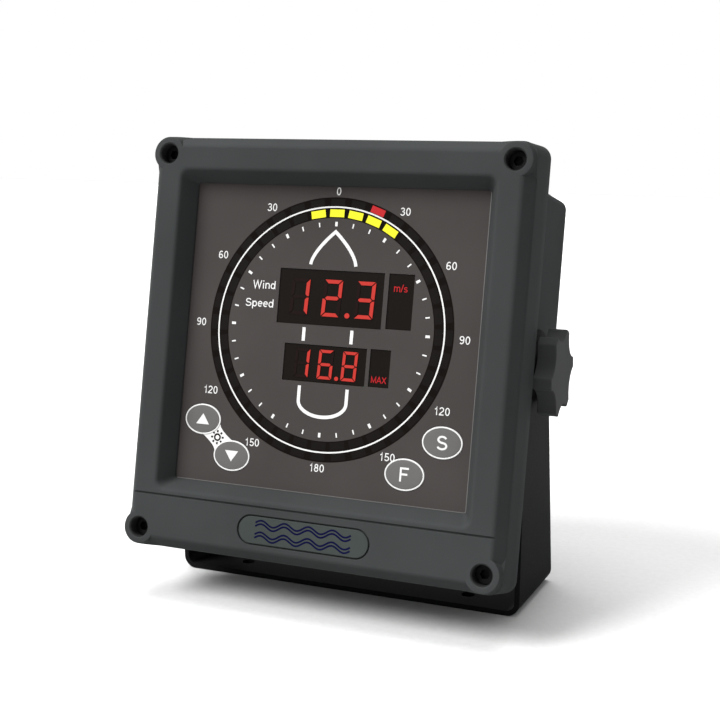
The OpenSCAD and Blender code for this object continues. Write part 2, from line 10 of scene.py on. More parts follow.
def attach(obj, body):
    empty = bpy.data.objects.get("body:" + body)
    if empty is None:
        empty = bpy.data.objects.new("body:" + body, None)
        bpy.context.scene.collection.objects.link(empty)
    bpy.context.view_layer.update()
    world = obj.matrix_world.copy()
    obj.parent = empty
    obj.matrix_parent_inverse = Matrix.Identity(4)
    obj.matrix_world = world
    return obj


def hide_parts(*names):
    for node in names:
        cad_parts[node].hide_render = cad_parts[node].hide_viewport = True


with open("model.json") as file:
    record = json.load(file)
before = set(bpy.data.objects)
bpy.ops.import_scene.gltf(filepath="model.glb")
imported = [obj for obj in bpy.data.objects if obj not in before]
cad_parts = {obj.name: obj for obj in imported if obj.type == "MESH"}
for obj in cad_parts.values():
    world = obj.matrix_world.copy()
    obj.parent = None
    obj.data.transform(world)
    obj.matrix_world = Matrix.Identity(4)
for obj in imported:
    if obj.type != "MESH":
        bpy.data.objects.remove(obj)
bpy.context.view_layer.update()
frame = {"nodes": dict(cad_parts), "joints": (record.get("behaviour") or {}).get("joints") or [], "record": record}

scene = bpy.context.scene
nodes = frame["nodes"]

# ---------------------------------------------------------------- places
# Head frame in millimetres: y = 0 on the bezel's face and grows to the back, z = 0 at the tilt pivot.
TILT = math.radians(10)
FACE_TO_PIVOT = 53.0
PIVOT = next(Vector(j["pos_m"]) for j in frame["joints"] if j["name"] == "head_tilt")
MM = Matrix.Scale(0.001, 4)
HEAD = (Matrix.Translation(PIVOT) @ Matrix.Rotation(-TILT, 4, "X") @ MM
        @ Matrix.Translation((0, -FACE_TO_PIVOT, 0)))

FILM_Y = 10.3   # front of the overlay film
FILM_Z = 6.1    # middle of the film and of the bezel's opening
DIAL_Z = 11.2   # middle of the dial

# ---------------------------------------------------------------- camera
# lens in millimetres, place in metres, and azimuth, elevation and roll in degrees
LENS, SENSOR = 65.14, 36.0
CAMERA_AT = (0.24299, -0.59745, 0.2153)
CAMERA_TURN = (22.547, 9.165, 0.858)

camera = bpy.data.objects.new("camera", bpy.data.cameras.new("camera"))
scene.collection.objects.link(camera)
scene.camera = camera
camera.data.sensor_width = SENSOR
camera.data.lens = LENS
camera.data.clip_start = 0.01
camera.data.clip_end = 30.0
azimuth, elevation, roll = (math.radians(a) for a in CAMERA_TURN)
toward = Vector((-math.sin(azimuth) * math.cos(elevation), math.cos(azimuth) * math.cos(elevation),
                 -math.sin(elevation)))
level = Vector((math.cos(azimuth), math.sin(azimuth), 0))
over = level.cross(toward)
right = math.cos(roll) * level + math.sin(roll) * over
up = -math.sin(roll) * level + math.cos(roll) * over
camera.matrix_world = (Matrix.Translation(CAMERA_AT)
                       @ Matrix((right, up, -toward)).transposed().to_4x4())

# ---------------------------------------------------------------- materials
GRAIN_DEPTH = 0.00006   # metres
ROUGH_SPREAD = 0.10


def material(name, color, rough, metal=0.0, spec=0.5, tint=0.10, patch=14.0, grain=2600.0, bump=0.10,
             stretch=(1, 1, 1), coat=0.0, glow=None):
    """Procedural finish: slow colour patches, fine grain in bump and roughness."""
    m = bpy.data.materials.new(name)
    m.use_nodes = True
    t = m.node_tree
    add, link = t.nodes.new, t.links.new
    shader = t.nodes["Principled BSDF"]
    where = add("ShaderNodeTexCoord")
    mapping = add("ShaderNodeMapping")
    mapping.inputs["Scale"].default_value = stretch
    link(where.outputs["Object"], mapping.inputs["Vector"])

    def noise(scale, detail, roughness=0.55):
        n = add("ShaderNodeTexNoise")
        n.inputs["Scale"].default_value = scale
        n.inputs["Detail"].default_value = detail
        n.inputs["Roughness"].default_value = roughness
        link(mapping.outputs["Vector"], n.inputs["Vector"])
        return n

    patches, fine = noise(patch, 4.0), noise(grain, 3.0)
    ramp = add("ShaderNodeValToRGB")
    ramp.color_ramp.elements[0].position = 0.3
    ramp.color_ramp.elements[1].position = 0.7
    ramp.color_ramp.elements[0].color = [c * (1 - tint) for c in color] + [1]
    ramp.color_ramp.elements[1].color = [min(1, c * (1 + tint)) for c in color] + [1]
    speck = add("ShaderNodeMixRGB")
    speck.blend_type = "MULTIPLY"
    speck.inputs["Fac"].default_value = 0.35
    link(patches.outputs["Fac"], ramp.inputs["Fac"])
    link(ramp.outputs["Color"], speck.inputs["Color1"])
    grey = add("ShaderNodeMapRange")
    grey.inputs["To Min"].default_value = 0.75
    grey.inputs["To Max"].default_value = 1.25
    link(fine.outputs["Fac"], grey.inputs["Value"])
    link(grey.outputs["Result"], speck.inputs["Color2"])
    link(speck.outputs["Color"], shader.inputs["Base Color"])
    span = add("ShaderNodeMapRange")
    span.inputs["To Min"].default_value = max(0.02, rough - ROUGH_SPREAD)
    span.inputs["To Max"].default_value = min(1.0, rough + ROUGH_SPREAD)
    link(fine.outputs["Fac"], span.inputs["Value"])
    link(span.outputs["Result"], shader.inputs["Roughness"])
    rise = add("ShaderNodeBump")
    rise.inputs["Strength"].default_value = bump
    rise.inputs["Distance"].default_value = GRAIN_DEPTH
    link(fine.outputs["Fac"], rise.inputs["Height"])
    link(rise.outputs["Normal"], shader.inputs["Normal"])
    shader.inputs["Metallic"].default_value = metal
    shader.inputs["Specular IOR Level"].default_value = spec
    shader.inputs["Coat Weight"].default_value = coat
    if glow:
        lamp = add("ShaderNodeValToRGB")
        lamp.color_ramp.elements[0].position = 0.25
        lamp.color_ramp.elements[1].position = 0.75
        lamp.color_ramp.elements[0].color = [c * 0.9 for c in glow] + [1]
        lamp.color_ramp.elements[1].color = list(glow) + [1]
        link(patches.outputs["Fac"], lamp.inputs["Fac"])
        link(lamp.outputs["Color"], shader.inputs["Emission Color"])
        shader.inputs["Emission Strength"].default_value = 1.0
    return m


MAT = {
    "case_grey": material("case_grey", (0.0248, 0.0263, 0.0266), 0.60, spec=0.010, bump=0.25),
    "yoke_black": material("yoke_black", (0.0056, 0.0058, 0.0057), 0.55, spec=0.012, grain=1500, bump=0.2),
    "badge_grey": material("badge_grey", (0.0245, 0.0290, 0.0272), 0.5, spec=0.05),
    "rubber_black": material("rubber_black", (0.008, 0.008, 0.008), 0.8, spec=0.15),
    "film_grey": material("film_grey", (0.0318, 0.0284, 0.0272), 0.65, spec=0.03, grain=4200, bump=0.12),
    "plate_aluminium": material("plate_aluminium", (0.72, 0.72, 0.73), 0.35, metal=1.0, stretch=(1, 1, 14)),
    "steel": material("steel", (0.56, 0.56, 0.57), 0.3, metal=1.0, grain=1800, bump=0.15),
    "lamp_yellow": material("lamp_yellow", (0.05, 0.045, 0.01), 0.35),
    "lamp_red": material("lamp_red", (0.05, 0.006, 0.006), 0.35),
    "window_dark": material("window_dark", (0.0042, 0.0032, 0.0026), 0.45, spec=0.03, bump=0.03),
    "digit_red": material("digit_red", (0.03, 0.002, 0.002), 0.5, spec=0.1, glow=(0.60, 0.036, 0.024),
                          patch=260),
    "key_grey": material("key_grey", (0.072, 0.070, 0.068), 0.6, spec=0.06, grain=4200),
    "part_black": material("part_black", (0.02, 0.02, 0.02), 0.6),
    "board_green": material("board_green", (0.008, 0.09, 0.035), 0.3, tint=0.3, patch=120, coat=0.4),
    "brass": material("brass", (0.72, 0.53, 0.22), 0.3, metal=1.0, grain=1600, bump=0.15),
    "ribbon_grey": material("ribbon_grey", (0.34, 0.34, 0.35), 0.5, stretch=(8, 1, 1)),
    "terminal_green": material("terminal_green", (0.02, 0.22, 0.07), 0.45),
    "screw_black": material("screw_black", (0.0030, 0.0030, 0.0033), 0.5, spec=0.05, bump=0.15),
    "washer_white": material("washer_white", (0.72, 0.71, 0.68), 0.45),
    "gland_black": material("gland_black", (0.008, 0.008, 0.008), 0.45, spec=0.2, bump=0.15),
    "knob_black": material("knob_black", (0.008, 0.008, 0.008), 0.55, spec=0.06, bump=0.15),
    "knob_grey": material("knob_grey", (0.037, 0.0383, 0.038), 0.6, spec=0.02, bump=0.2),
}
print_white = material("print_white", (0.43, 0.43, 0.425), 0.6, spec=0.1, tint=0.03, bump=0.05)
print_black = material("print_black", (0.0036, 0.0027, 0.0023), 0.8, spec=0.02, bump=0.06)
print_navy = material("print_navy", (0.0018, 0.0020, 0.0165), 0.6, spec=0.03, tint=0.15)
# painted highlight: lighter grey for the strip on the film's right and bottom edges
painted_film_highlight = material("painted_film_highlight", (0.070, 0.068, 0.066), 0.4, spec=0.3)
glow_yellow = material("glow_yellow", (0.06, 0.055, 0.004), 0.5, spec=0.1, glow=(1.0, 0.97, 0.022),
                       patch=400)
glow_red = material("glow_red", (0.03, 0.002, 0.002), 0.5, spec=0.1, glow=(0.55, 0.010, 0.016),
                    patch=400)
bar_dark = material("bar_dark", (0.0060, 0.0030, 0.0026), 0.5, spec=0.03)
lamp_dark = material("lamp_dark", (0.0042, 0.0034, 0.0030), 0.5, spec=0.03)

# ---------------------------------------------------------------- mesh helpers


def shade(mesh, angle=32):
    """Smooth faces, with edges sharper than the angle kept crisp."""
    bm = bmesh.new()
    bm.from_mesh(mesh)
    bmesh.ops.recalc_face_normals(bm, faces=bm.faces)
    for f in bm.faces:
        f.smooth = True
    for e in bm.edges:
        e.smooth = len(e.link_faces) == 2 and e.calc_face_angle(0) < math.radians(angle)
    bm.to_mesh(mesh)
    bm.free()


def piece(name, mesh, body, mat, stands_for=(), angle=32):
    shade(mesh, angle)
    mesh.materials.clear()
    mesh.materials.append(mat)
    ob = bpy.data.objects.new(name, mesh)
    scene.collection.objects.link(ob)
    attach(ob, body)
    if stands_for:
        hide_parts(*stands_for)
    return ob


def loft(loops, closed=False):
    """Mesh of quads through loops with equal numbers of points; the ends are capped unless closed."""
    n = len(loops[0])
    verts = [p for loop in loops for p in loop]
    rows = len(loops)
    faces = []
    for i in range(rows if closed else rows - 1):
        a, b = i * n, ((i + 1) % rows) * n
        faces += [(a + j, a + (j + 1) % n, b + (j + 1) % n, b + j) for j in range(n)]
    if not closed:
        faces += [tuple(range(n - 1, -1, -1)), tuple(range((rows - 1) * n, rows * n))]
    mesh = bpy.data.meshes.new("loft")
    mesh.from_pydata(verts, [], faces)
    return mesh


def merge(meshes):
    bm = bmesh.new()
    for m in meshes:
        bm.from_mesh(m)
    out = bpy.data.meshes.new("merged")
    bm.to_mesh(out)
    bm.free()
    return out


def plate(points, y, thick=0.02):
    """Thin flat shape with the given outline, centred on the plane y of the head."""
    return loft([[(x, y + d, z) for x, z in points] for d in (-thick / 2, thick / 2)])


def ribbon(points, width, y, thick=0.02, cyclic=False):
    """Line of the given width through points, lying on the plane y of the head."""
    loops = []
    n = len(points)
    for i, p in enumerate(points):
        p = Vector(p)
        a = Vector(points[i - 1]) if cyclic or i else None
        b = Vector(points[(i + 1) % n]) if cyclic or i < n - 1 else None
        d0 = (p - a).normalized() if a else (b - p).normalized()
        d1 = (b - p).normalized() if b else d0
        normal = Vector((-(d0 + d1).y, (d0 + d1).x)).normalized()
        reach = normal * (width / 2 / max(0.35, normal.dot(Vector((-d0.y, d0.x)))))
        l, r = p + reach, p - reach
        loops.append([(l.x, y - thick / 2, l.y), (r.x, y - thick / 2, r.y),
                      (r.x, y + thick / 2, r.y), (l.x, y + thick / 2, l.y)])
    return loft(loops, closed=cyclic)


def on_head(meshes):
    mesh = merge(meshes)
    mesh.transform(HEAD)
    return mesh


def arc(cx, cz, rx, rz, a0, a1, n=14):
    return [(cx + rx * math.cos(math.radians(a0 + (a1 - a0) * i / n)),
             cz + rz * math.sin(math.radians(a0 + (a1 - a0) * i / n))) for i in range(n + 1)]


# each stroke of a letter lies this far behind the one before, so that no two share a plane
STROKE_STEP = 0.002

# plain sans-serif strokes on a box one capital high, with each letter's width
LETTERS = {
    "0": (0.69, [arc(0, 0.5, 0.22, 0.43, 0, 360, 28)]),
    "1": (0.62, [[(-0.15, 0.70), (0.03, 0.80), (0.07, 0.93), (0.07, 0)]]),
    "2": (0.69, [arc(0, 0.69, 0.22, 0.24, 165, -35) + [(-0.22, 0.16), (-0.24, 0.07), (0.26, 0.07)]]),
    "3": (0.69, [arc(-0.01, 0.73, 0.20, 0.20, 160, -90) + arc(-0.01, 0.29, 0.24, 0.23, 90, -160)]),
    "5": (0.69, [[(0.22, 0.93), (-0.14, 0.93)] + arc(0, 0.32, 0.24, 0.25, 132, -155)]),
    "6": (0.69, [arc(0.02, 0.5, 0.24, 0.43, 48, 200), arc(0, 0.30, 0.22, 0.23, 0, 360, 24)]),
    "8": (0.69, [arc(0, 0.73, 0.18, 0.20, 0, 360, 24), arc(0, 0.29, 0.22, 0.23, 0, 360, 24)]),
    "9": (0.69, [arc(-0.02, 0.5, 0.24, 0.43, 228, 380), arc(0, 0.70, 0.22, 0.23, 0, 360, 24)]),
    "W": (0.98, [[(-0.42, 1), (-0.22, 0.04), (0, 0.94), (0.22, 0.04), (0.42, 1)]]),
    "i": (0.30, [[(0, 0), (0, 0.70)], [(0, 0.86), (0, 1.0)]]),
    "n": (0.58, [[(-0.18, 0), (-0.18, 0.72)],
                 [(-0.18, 0.42)] + arc(0, 0.46, 0.18, 0.20, 165, 0) + [(0.18, 0)]]),
    "d": (0.60, [arc(-0.02, 0.35, 0.19, 0.30, 0, 360, 24), [(0.19, 0), (0.19, 1)]]),
    "p": (0.60, [arc(0.02, 0.35, 0.19, 0.30, 0, 360, 24), [(-0.19, -0.28), (-0.19, 0.72)]]),
    "e": (0.58, [[(-0.19, 0.38), (0.19, 0.38)] + arc(0, 0.36, 0.20, 0.30, 5, 315)]),
    "s": (0.52, [arc(0, 0.50, 0.16, 0.15, 25, 270) + arc(0, 0.20, 0.18, 0.15, 90, -155)]),
    "m": (0.86, [[(-0.32, 0), (-0.32, 0.72)], [(-0.32, 0.45)] + arc(-0.16, 0.47, 0.16, 0.19, 165, 0)
                 + [(0, 0)], [(0, 0.45)] + arc(0.16, 0.47, 0.16, 0.19, 165, 0) + [(0.32, 0)]]),
    "/": (0.34, [[(-0.13, -0.02), (0.13, 1.02)]]),
    "S": (0.70, [arc(0, 0.725, 0.24, 0.21, 20, 270) + arc(0, 0.285, 0.27, 0.22, 90, -162)]),
    "F": (0.64, [[(-0.22, 0), (-0.22, 0.94), (0.27, 0.94)], [(-0.22, 0.52), (0.20, 0.52)]]),
    "M": (0.86, [[(-0.32, 0), (-0.32, 0.96), (0, 0.10), (0.32, 0.96), (0.32, 0)]]),
    "A": (0.74, [[(-0.32, 0), (0, 0.96), (0.32, 0)], [(-0.20, 0.32), (0.20, 0.32)]]),
    "X": (0.72, [[(-0.28, 0), (0.28, 1)], [(-0.28, 1), (0.28, 0)]]),
}


def words(text, x, z, height, y, weight=0.128, thick=0.02, wide=1.07):
    """Text of strokes centred on (x, z), with capitals of the given height."""
    made = []
    at = -sum(LETTERS[c][0] for c in text) / 2
    for c in text:
        step, strokes = LETTERS[c]
        for k, line in enumerate(strokes):
            pts = [(x + (at + step / 2 + px) * wide * height, z + (pz - 0.5) * height) for px, pz in line]
            shut = (Vector(pts[0]) - Vector(pts[-1])).length < 1e-6
            made.append(ribbon(pts[:-1] if shut else pts, weight * height, y + STROKE_STEP * k, thick, shut))
        at += step
    return made


def ellipse(a, b, n=96, x=0.0, z=0.0):
    return [(x + a * math.cos(2 * math.pi * i / n), z + b * math.sin(2 * math.pi * i / n)) for i in range(n)]


def solid_of_rings(rings, closed=False):
    """Solid through outlines in x and z, each at its depth y; closed joins the last to the first."""
    return loft([[(x, y, z) for x, z in pts] for y, pts in rings], closed)


def combine(first, second, how):
    """Boolean of two closed meshes in the head's millimetres."""
    pair = [bpy.data.objects.new("boolean", m) for m in (first, second)]
    for ob in pair:
        shade(ob.data)
        scene.collection.objects.link(ob)
    m = pair[0].modifiers.new("boolean", "BOOLEAN")
    m.operation = how
    m.solver = "EXACT"
    m.object = pair[1]
    bpy.context.view_layer.update()
    mesh = bpy.data.meshes.new_from_object(pair[0].evaluated_get(bpy.context.evaluated_depsgraph_get()))
    for ob in pair:
        bpy.data.objects.remove(ob)
    return mesh


def racetrack(w, h, z, n=24):
    """Bar w wide and h high with round ends, round (0, z)."""
    r = h / 2
    c = w / 2 - r
    return ([(c + r * math.cos(a), z + r * math.sin(a)) for a in
             [math.pi * (i / n - 0.5) for i in range(n + 1)]]
            + [(r * math.cos(a) - c, z + r * math.sin(a)) for a in
               [math.pi * (i / n + 0.5) for i in range(n + 1)]])


def soften(name, width):
    """Rounds the edges of a CAD node, without touching its mesh."""
    ob = nodes[name]
    for f in ob.data.polygons:
        f.use_smooth = True
    weld = ob.modifiers.new("weld", "WELD")
    weld.merge_threshold = 1e-6
    dissolve = ob.modifiers.new("dissolve", "DECIMATE")
    dissolve.decimate_type = "DISSOLVE"
    dissolve.angle_limit = math.radians(0.4)
    bevel = ob.modifiers.new("bevel", "BEVEL")
    bevel.width = width * 0.001
    bevel.segments = 2
    bevel.limit_method = "ANGLE"
    bevel.angle_limit = math.radians(28)
    bevel.miter_outer = "MITER_ARC"
    ob.modifiers.new("normals", "WEIGHTED_NORMAL").keep_sharp = True


# every CAD node gets the finish of its slot
for entry in frame["record"]["subparts"]:
    ob = nodes[entry["node"]]
    ob.data.materials.clear()
    ob.data.materials.append(MAT[entry["material_slot"]])

# ---------------------------------------------------------------- bezel

CORNERS = [(sx * 86.0, sz * 90.0) for sx in (-1, 1) for sz in (-1, 1)]
HALF_W, HALF_H = 94.5, 98.7     # half the width and height of the side walls, at SIDE_Y
CASE_R = 6.5
SIDE_Y, BACK_Y = 6.0, 28.0      # the side walls run from the chamfer to the back edge
FLARE = 2.3                     # growth of the top and bottom walls on the way
OPEN_W, OPEN_H = 73.7, 71.6     # half the opening, at the film
ARC = 12

# the hollow in steps from the film to the back edge: half width, half height and corner radius
SEAT, CAVITY, LEDGE, RIM = (79.2, 77.1, 2.5), (84.5, 88.5, 2.0), (88.0, 92.0, 3.0), (91.0, 95.2, 5.0)
SEAT_Y, CAVITY_Y, LEDGE_Y, RIM_Y = 9.78, 13.0, 21.0, 22.9


def ring(hw, hh, r, y, mid=0.0):
    """Rounded rectangle round (0, mid) at depth y."""
    pts = []
    for sx, sz, start in ((1, 1, 0), (-1, 1, 90), (-1, -1, 180), (1, -1, 270)):
        cx, cz = sx * (hw - r), mid + sz * (hh - r)
        for i in range(ARC + 1):
            a = math.radians(start + 90 * i / ARC)
            pts.append((cx + r * math.cos(a), y, cz + r * math.sin(a)))
    return pts


def rounded_path(points, radii, steps=6):
    """Polyline with its inner points rounded off."""
    out = [points[0]]
    for i in range(1, len(points) - 1):
        a, p, b = Vector(points[i - 1]), Vector(points[i]), Vector(points[i + 1])
        r = min(radii[i], (p - a).length * 0.49, (b - p).length * 0.49)
        p0, p1 = p + (a - p).normalized() * r, p + (b - p).normalized() * r
        for s in range(steps + 1):
            t = s / steps
            out.append(tuple((1 - t) ** 2 * p0 + 2 * t * (1 - t) * p + t ** 2 * p1))
    out.append(points[-1])
    return out


def half_height(y):
    return HALF_H + FLARE * max(0.0, y - SIDE_Y) / (BACK_Y - SIDE_Y)


def bezel_mesh():
    end = half_height(BACK_Y)
    loops = [ring(*RIM, RIM_Y), ring(*RIM, BACK_Y - 0.2),
             ring(RIM[0] + 0.2, RIM[1] + 0.2, RIM[2], BACK_Y),
             ring(HALF_W - 0.5, end - 0.5, CASE_R - 0.5, BACK_Y),
             ring(HALF_W - 0.1, end - 0.12, CASE_R - 0.1, BACK_Y - 0.15)]
    loops += [ring(HALF_W, half_height(y), CASE_R, y) for y in (27.4, 20.0, 14.0, 9.0)]
    # chamfer: inset from the side wall against depth, with soft shoulders
    for inset, y in rounded_path([(0, 9), (0, SIDE_Y), (4.7, 0), (9, 0)], [0, 1.4, 1.5, 0]):
        loops.append(ring(HALF_W - inset, half_height(y) - inset, max(2.0, CASE_R - inset * 0.4), y))
    # sloped opening, from the face down to the film
    for wider, y in rounded_path([(8, 0), (5, 0), (0.15, 9.2), (0.0, SEAT_Y)], [0, 1.6, 0.8, 0]):
        loops.append(ring(OPEN_W + wider, OPEN_H + wider, 1.2 + 0.62 * wider, y, FILM_Z))
    loops += [ring(*SEAT, SEAT_Y, FILM_Z), ring(*SEAT, CAVITY_Y, FILM_Z), ring(*CAVITY, CAVITY_Y),
              ring(*CAVITY, LEDGE_Y), ring(*LEDGE, LEDGE_Y), ring(*LEDGE, RIM_Y)]
    return loft(loops, closed=True)


# radius of a corner boss against depth: it widens into the sides of the bezel
BOSS = [(0.0, 7.45), (0.06, 7.75), (0.2, 7.93), (0.5, 8.0), (1.6, 8.05), (2.6, 8.25), (3.6, 8.5), (4.2, 8.7),
        (4.6, 9.2), (5.6, 10.8), (6.6, 12.6), (7.6, 14.6), (12.9, 14.6)]


def boss_meshes():
    """The four corner bosses, each kept inside the outline of the bezel."""
    made = []
    for x, z in CORNERS:
        boss = solid_of_rings([(y, ellipse(r, r, 96, x, z)) for y, r in BOSS])
        prism = loft([ring(HALF_W - 0.02, HALF_H - 0.02, CASE_R, y) for y in (-1, 12.8)])
        made.append(combine(boss, prism, "INTERSECT"))
    return made


GROOVE_Z, GROOVE_X = -73.3, 90.2
BADGE_Z = -84.0
BADGE_W, BADGE_H = 66.5, 14.0   # recess for the badge


def face_cuts():
    """Screw wells, groove and badge recess, from in front of the face to their floors."""
    cuts = []
    for x, z in CORNERS:
        cuts.append(solid_of_rings([(y, ellipse(r, r, 64, x, z))
                                    for y, r in ((-1, 5.9), (0.0, 5.35), (0.35, 5.0), (10.0, 5.0))]))
    cuts.append(loft([[(side * GROOVE_X, y, GROOVE_Z + s * w)
                       for side, s in ((-1, -1), (1, -1), (1, 1), (-1, 1))]
                      for y, w in ((-1, 1.4), (0.0, 0.62), (0.25, 0.4), (0.9, 0.4))]))
    cuts.append(solid_of_rings([(y, racetrack(BADGE_W + wider, BADGE_H + wider, BADGE_Z))
                                for y, wider in ((-1, 1.1), (0.0, 0.4), (0.2, 0.0), (1.2, 0.0))]))
    return merge(cuts)


mesh = bezel_mesh()
for boss in boss_meshes():
    mesh = combine(mesh, boss, "UNION")
mesh = combine(mesh, face_cuts(), "DIFFERENCE")
mesh.transform(HEAD)
piece("bezel_shell", mesh, "head", MAT["case_grey"], ["front_bezel"], 30)

# badge with a plain wave device, a little smaller than its recess
mesh = solid_of_rings([(y, racetrack(BADGE_W - less, BADGE_H - less, BADGE_Z))
                       for y, less in ((1.19, 1.4), (0.35, 1.4), (0.12, 1.9), (0.1, 3.5))])
mesh.transform(HEAD)
piece("badge", mesh, "head", MAT["badge_grey"], ["badge_plate"])
WAVES_W, WAVE_HEIGHT, WAVE_STEPS, STEPS_EACH = 48, 1.25, 120, 30
waves = []
for row in (-1, 1):
    for d in (-0.8, 0.8):
        z = BADGE_Z + row * 2.7 + d
        pts = [(-WAVES_W / 2 + WAVES_W * i / WAVE_STEPS,
                z + WAVE_HEIGHT * math.sin(2 * math.pi * i / STEPS_EACH)) for i in range(WAVE_STEPS + 1)]
        waves.append(ribbon(pts, 0.85, 0.085))
piece("badge_waves", on_head(waves), "head", print_navy)

# near-black liners on the walls of the screw wells: painted shade, standing in for the shadow inside the wells
WELL_SHADE_LINER = [(4.92, 0.5), (4.92, 9.6), (4.60, 9.6), (4.60, 0.7), (4.72, 0.5)]   # radius, depth
well_shade_liners = [solid_of_rings([(y, ellipse(r, r, 64, x, z)) for r, y in WELL_SHADE_LINER], closed=True)
           for x, z in CORNERS]
piece("painted_well_shade", on_head(well_shade_liners), "head", MAT["rubber_black"])

# ---------------------------------------------------------------- printed dial

PRINT = FILM_Y - 0.03   # plane of the printing, just in front of the film
STEPS = 36              # ticks, and lamps in a row
BAND_R, BAND_W = 56.6, 9.6
LINE_R, LINE_W = 56.9, 0.70
TICK_R, TICK_H = 49.0, 2.1
NUMERAL_H = 3.7
# radius, width and height of a lamp window in each row
INNER_LAMP, OUTER_LAMP = (54.0, 7.2, 3.5), (59.1, 7.0, 3.2)


def circle(r, n=240):
    return [(x, z + DIAL_Z) for x, z in ellipse(r, r, n)]


piece("dial_band", on_head([ribbon(circle(BAND_R), BAND_W, PRINT, cyclic=True)]), "head",
      print_black)
piece("dial_line", on_head([ribbon(circle(LINE_R), LINE_W, PRINT - 0.03, cyclic=True)]), "head",
      print_white)


def turned(points, k):
    """Points drawn round the dial's middle, turned clockwise by k steps of the dial."""
    a = math.radians(360 / STEPS * k)
    return [(x * math.cos(a) + z * math.sin(a), DIAL_Z - x * math.sin(a) + z * math.cos(a))
            for x, z in points]


def box_at(r, w, h):
    return [(-w / 2, r - h / 2), (w / 2, r - h / 2), (w / 2, r + h / 2), (-w / 2, r + h / 2)]


ticks = [plate(turned(box_at(TICK_R, 1.2 if k % 3 == 0 else 0.65, TICK_H), k), PRINT) for k in range(STEPS)]
piece("dial_ticks", on_head(ticks), "head", print_white)
numerals = words("0", 0, 75.4, NUMERAL_H, PRINT) + words("180", 0, -53.0, NUMERAL_H, PRINT)
for text, x, z in (("30", 33.6, 67.0), ("60", 57.6, 43.5), ("90", 66.6, 10.8), ("120", 58.6, -21.5),
                   ("150", 34.3, -44.5)):
    numerals += words(text, x, z, NUMERAL_H, PRINT) + words(text, -x, z, NUMERAL_H, PRINT)
piece("dial_numerals", on_head(numerals), "head", print_white)
piece("speed_words", on_head(words("Wind", -34.5, 30.3, 3.8, PRINT, 0.13, wide=1.3)
                             + words("Speed", -36.3, 21.6, 3.8, PRINT, 0.13, wide=1.3)),
      "head", print_white)

# lamps: windows in the band, some of them lit, counted clockwise from the top
LIT_INNER = (-1, 0, 1, 2, 3)
LIT_OUTER = (2,)


def lamp_windows(lamp, chosen, y):
    return [plate(turned(box_at(*lamp), k), y) for k in range(STEPS) if k in chosen or k - STEPS in chosen]


def others(chosen):
    return [k for k in range(STEPS) if k not in chosen and k - STEPS not in chosen]


piece("lamps_lit_yellow", on_head(lamp_windows(INNER_LAMP, LIT_INNER, PRINT - 0.05)), "head",
      glow_yellow)
piece("lamps_lit_red", on_head(lamp_windows(OUTER_LAMP, LIT_OUTER, PRINT - 0.05)), "head",
      glow_red)
piece("lamps_unlit", on_head(lamp_windows(INNER_LAMP, others(LIT_INNER), PRINT - 0.02)
                             + lamp_windows(OUTER_LAMP, others(LIT_OUTER), PRINT - 0.02)),
      "head", lamp_dark)

# ship outline
side = [(11.4 * (1 - (1 - t) ** 1.55), 56.6 - 15.6 * t) for t in [i / 16 for i in range(17)]]
hull = [ribbon([(-x, z) for x, z in reversed(side)] + side[1:], 1.6, PRINT)]
hull += [ribbon([(12.1 * s, 11.5), (12.1 * s, 5.2)], 1.6, PRINT) for s in (-1, 1)]
hull.append(ribbon([(-12.1, -15.7)] + arc(0, -22.5, 12.1, 7.0, 180, 360, 32) + [(12.1, -15.7)], 1.6, PRINT))
piece("ship_outline", on_head(hull), "head", print_white)

# painted highlight: a lighter strip along the film's right side and bottom only, the edges that face the light
edge = [(-73.2, FILM_Z - 71.35), (72.4, FILM_Z - 71.35)] + arc(72.4, FILM_Z - 70.35, 1, 1, -90, 0, 6)[1:]
edge.append((73.4, FILM_Z + 71.2))
piece("painted_film_highlight", on_head([ribbon(edge, 0.36, FILM_Y - 0.06, 0.1)]), "head", painted_film_highlight)

# ---------------------------------------------------------------- digits

SEGMENTS = {"1": "bc", "2": "abged", "3": "abgcd", "6": "afgecd", "8": "abcdefg"}
LEAN = math.tan(math.radians(2.2))


def bars(h):
    """The seven bars of a digit h high, as outlines round its centre."""
    t, g = 0.098 * h, 0.022 * h
    a, b = 0.265 * h, 0.49 * h
    top = [(-a + g, b), (a - g, b), (a - t - g, b - t), (-a + t + g, b - t)]
    left = [(-a, b - g), (-a + t, b - t - g), (-a + t, t / 2 + g), (-a + t / 2, g), (-a, g)]
    middle = [(-a + t / 2 + g, 0), (-a + t + g, t / 2), (a - t - g, t / 2), (a - t / 2 - g, 0),
              (a - t - g, -t / 2), (-a + t + g, -t / 2)]

    def flip(p, sx, sz):
        return [(x * sx, z * sz) for x, z in p]

    return {"a": top, "d": flip(top, 1, -1), "g": middle, "f": left, "b": flip(left, -1, 1),
            "e": flip(left, 1, -1), "c": flip(left, -1, -1)}


def number(text, h, pitch, mid, z, dot):
    """Outlines of the lit and the dark bars of a three-digit number, and its decimal point."""
    lit, dark = [], []
    for i, ch in enumerate(text):
        for key, pts in bars(h).items():
            shape = [(x + zz * LEAN + mid + (i - 1) * pitch, z + zz) for x, zz in pts]
            (lit if key in SEGMENTS[ch] else dark).append(shape)
    lit.append(ellipse(0.07 * h, 0.07 * h, 24, mid + dot, z - h / 2 + 0.065 * h))
    return lit, dark


